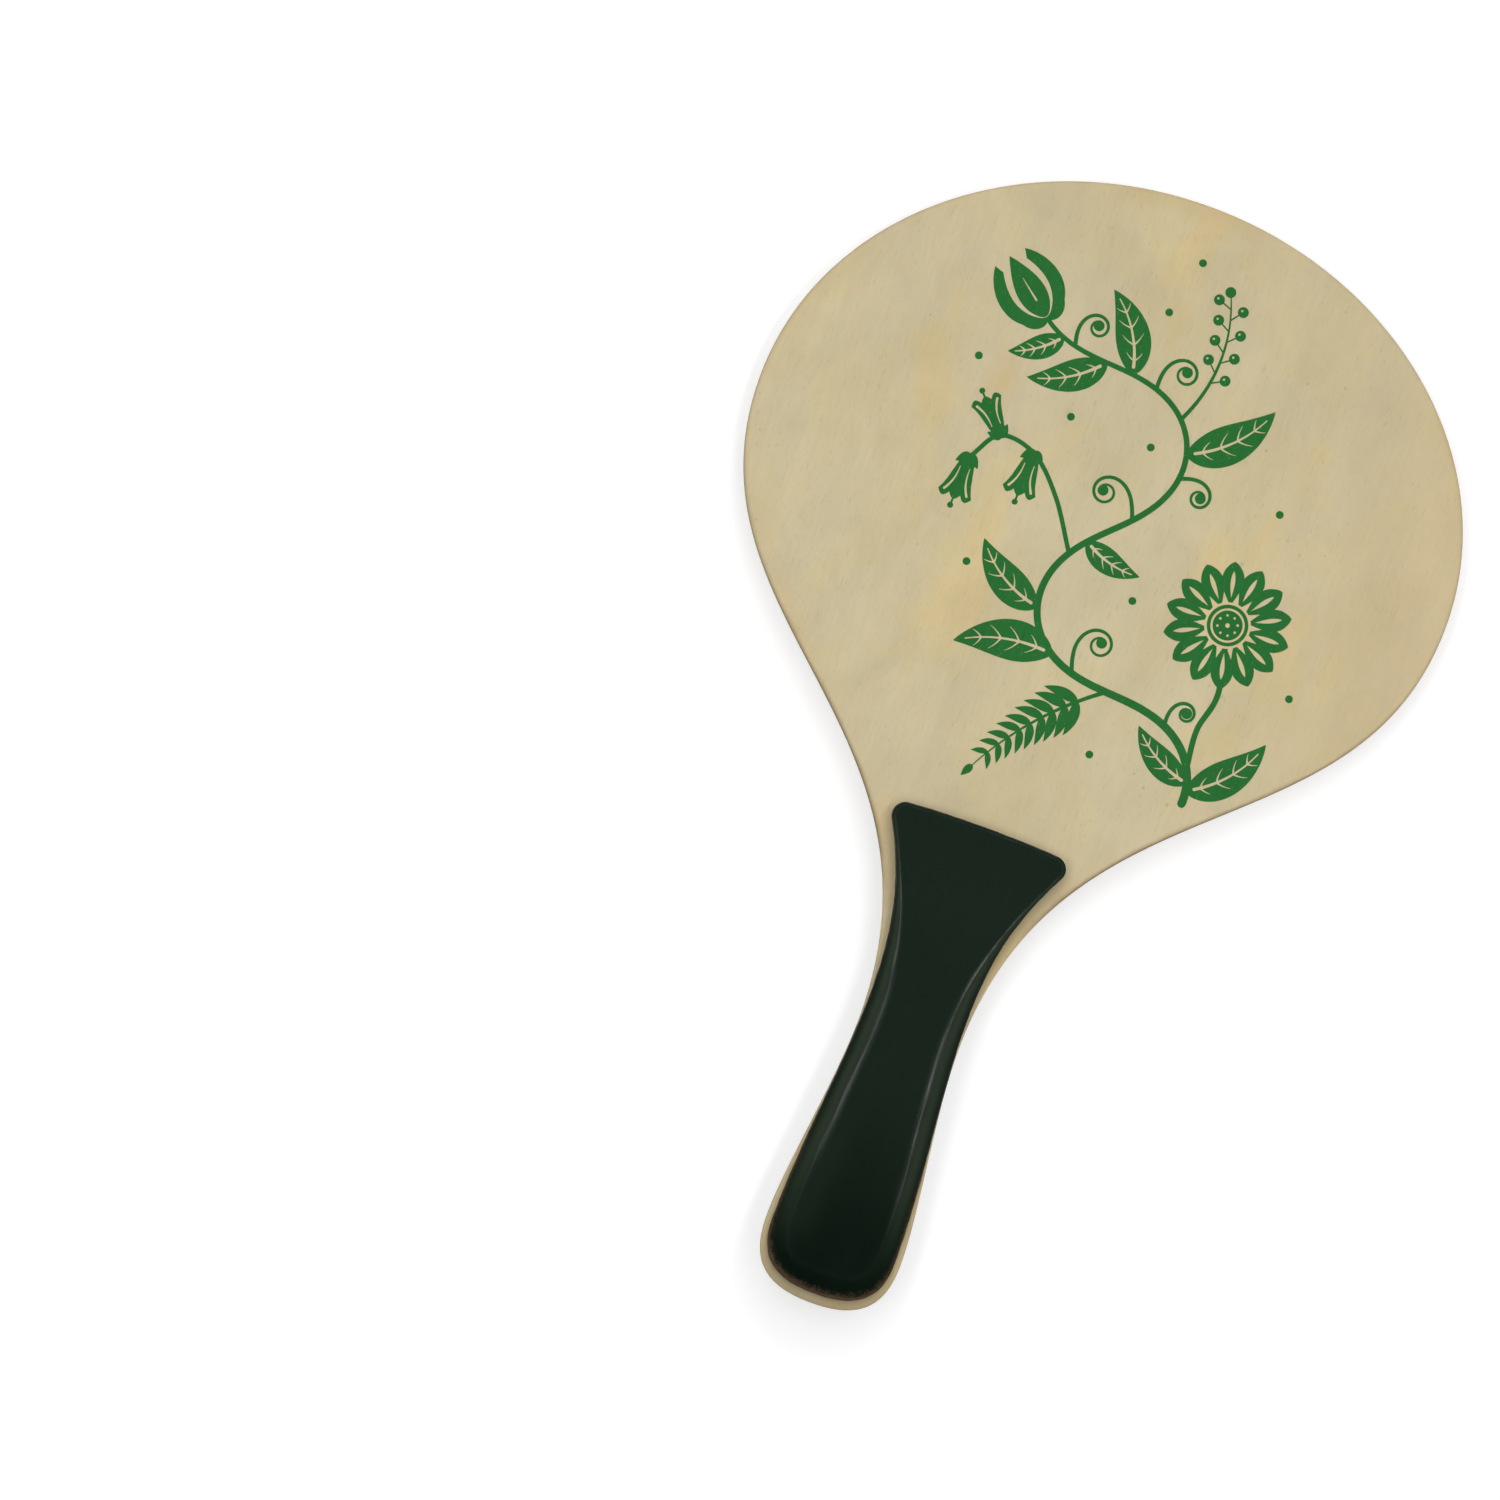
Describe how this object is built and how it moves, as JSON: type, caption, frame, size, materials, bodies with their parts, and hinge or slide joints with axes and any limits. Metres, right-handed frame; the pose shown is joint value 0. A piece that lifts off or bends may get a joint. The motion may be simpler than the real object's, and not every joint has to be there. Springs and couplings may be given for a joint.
{
  "type": "frescobol racket",
  "caption": "Wooden beach bat with a tear-drop plywood blade and a moulded grip scale glued on each side of its handle, for hitting a small ball.",
  "frame": {"origin": "on the flat outer face of the back grip scale, on the middle line of the bat, 75 mm from the butt where the middle of the hand holds it", "axes": "+Y along the bat from the butt to the crown of the head, +Z out of the front face, +X across the bat to the right when the front is looked at with the head up"},
  "size_m": [0.238, 0.38, 0.0235],
  "materials": {
    "face_veneer": "satin",
    "cross_band": "matte",
    "core_wood": "matte",
    "grip_paint": "satin",
    "grip_glue": "satin"
  },
  "bodies": {
    "root": {"back_grip_scale": "grip_paint", "back_glue_film": "grip_glue", "back_face_veneer": "face_veneer", "back_cross_band": "cross_band", "core_veneer": "core_wood", "front_cross_band": "cross_band", "front_face_veneer": "face_veneer", "front_glue_film": "grip_glue", "front_grip_scale": "grip_paint"}
  },
  "joints": []
}
